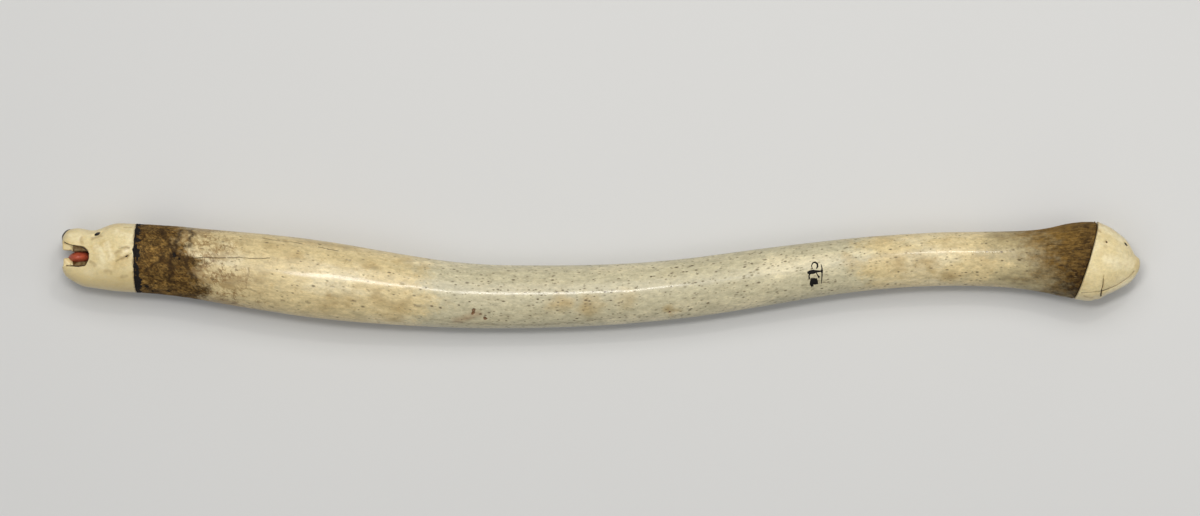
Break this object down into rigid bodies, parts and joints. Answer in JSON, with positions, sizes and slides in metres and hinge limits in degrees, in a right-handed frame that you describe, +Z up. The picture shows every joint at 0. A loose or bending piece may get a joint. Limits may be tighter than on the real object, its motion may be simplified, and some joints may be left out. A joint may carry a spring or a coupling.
{
  "type": "scrimshaw fossil oosik",
  "caption": "Long S-curved fossil bone lying on its side, with a carved open-mouthed bear head on one end and a smooth seal head on the other.",
  "frame": {"origin": "on the table under the middle of the whole object's box", "axes": "+X along the bone from the open-mouthed head to the smooth head, +Y across the bend towards the tops of the heads, +Z up from the table"},
  "size_m": [0.5696, 0.057, 0.0359],
  "materials": {
    "fossil_bone": "satin",
    "bear_ivory": "satin",
    "seal_ivory": "satin"
  },
  "bodies": {
    "root": {"fossil_oosik_shaft": "fossil_bone", "bear_head": "bear_ivory", "seal_head": "seal_ivory"}
  },
  "joints": []
}
